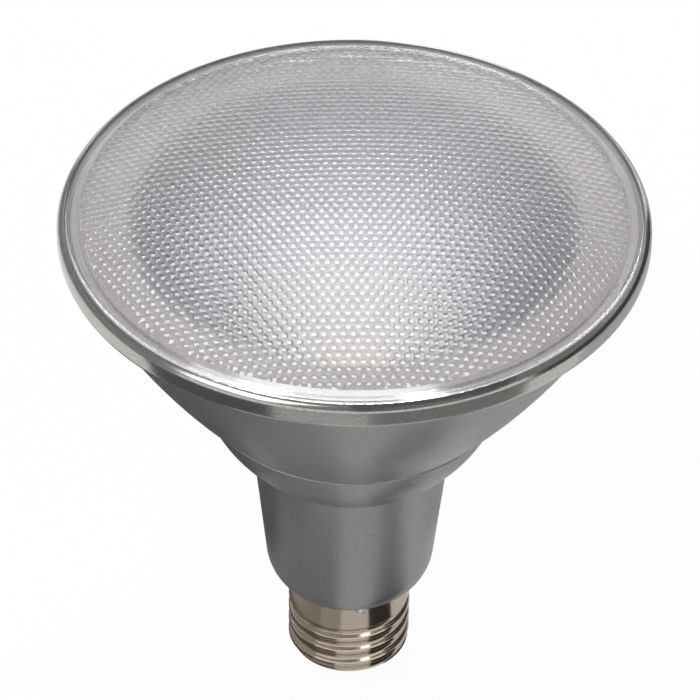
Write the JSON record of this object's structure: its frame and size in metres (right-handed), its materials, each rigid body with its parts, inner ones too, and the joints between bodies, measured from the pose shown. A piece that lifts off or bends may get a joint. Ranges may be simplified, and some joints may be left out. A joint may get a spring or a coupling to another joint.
{
  "type": "par spotlight bulb",
  "caption": "Reflector spotlight bulb with a domed dimpled lens, a flared silver housing, a tapered neck and a medium screw cap with a centre contact.",
  "frame": {"origin": "centre of the underside of the centre contact", "axes": "+Z along the lamp's axis, from the contact to the lens"},
  "size_m": [0.122, 0.122, 0.1317],
  "materials": {
    "clear_lens": "clear moulded plastic with a fine dimple pattern",
    "trim_paint": "satin metallic silver paint",
    "gasket_rubber": "soft black sealing rubber",
    "silver_paint": "satin metallic silver paint",
    "reflector_white": "bright satin reflector coating",
    "bare_aluminium": "pressed, uncoated",
    "pad_grey": "soft thermal pad",
    "white_mask": "white solder mask",
    "phosphor": "phosphor in a white frame",
    "screw_steel": "zinc plated",
    "board_green": "green solder mask",
    "ferrite": "sintered ferrite",
    "winding_tape": "wound wire under tape",
    "capacitor_sleeve": "shrunk sleeve",
    "capacitor_box": "moulded box",
    "choke_sleeve": "shrunk sleeve",
    "varistor_coat": "dipped epoxy",
    "chip_black": "moulded epoxy",
    "resistor_body": "lacquered body",
    "red_insulation": "insulated wire",
    "black_insulation": "insulated wire",
    "tinned_wire": "bare tinned wire",
    "nickel_plate": "nickel plated brass, bright",
    "solder": "bright solder",
    "insulator_black": "glossy black insulator",
    "contact_brass": "bright brass"
  },
  "bodies": {
    "root": {"lens": "clear_lens", "trim_ring": "trim_paint", "lens_gasket": "gasket_rubber", "bowl_housing": "silver_paint", "neck_housing": "silver_paint", "reflector": "reflector_white", "heat_spreader": "bare_aluminium", "thermal_pad": "pad_grey", "led_board": "white_mask", "led_packages": "phosphor", "board_screws": "screw_steel", "driver_board": "board_green", "transformer_core": "ferrite", "transformer_winding": "winding_tape", "output_capacitor": "capacitor_sleeve", "input_capacitor": "capacitor_sleeve", "film_capacitor": "capacitor_box", "choke": "choke_sleeve", "varistor": "varistor_coat", "bridge_rectifier": "chip_black", "driver_chip": "chip_black", "fuse_resistor": "resistor_body", "led_positive_lead": "red_insulation", "led_negative_lead": "black_insulation", "live_lead": "tinned_wire", "neutral_lead": "tinned_wire", "screw_shell": "nickel_plate", "solder_dot": "solder", "base_insulator": "insulator_black", "centre_contact": "contact_brass"}
  },
  "joints": []
}
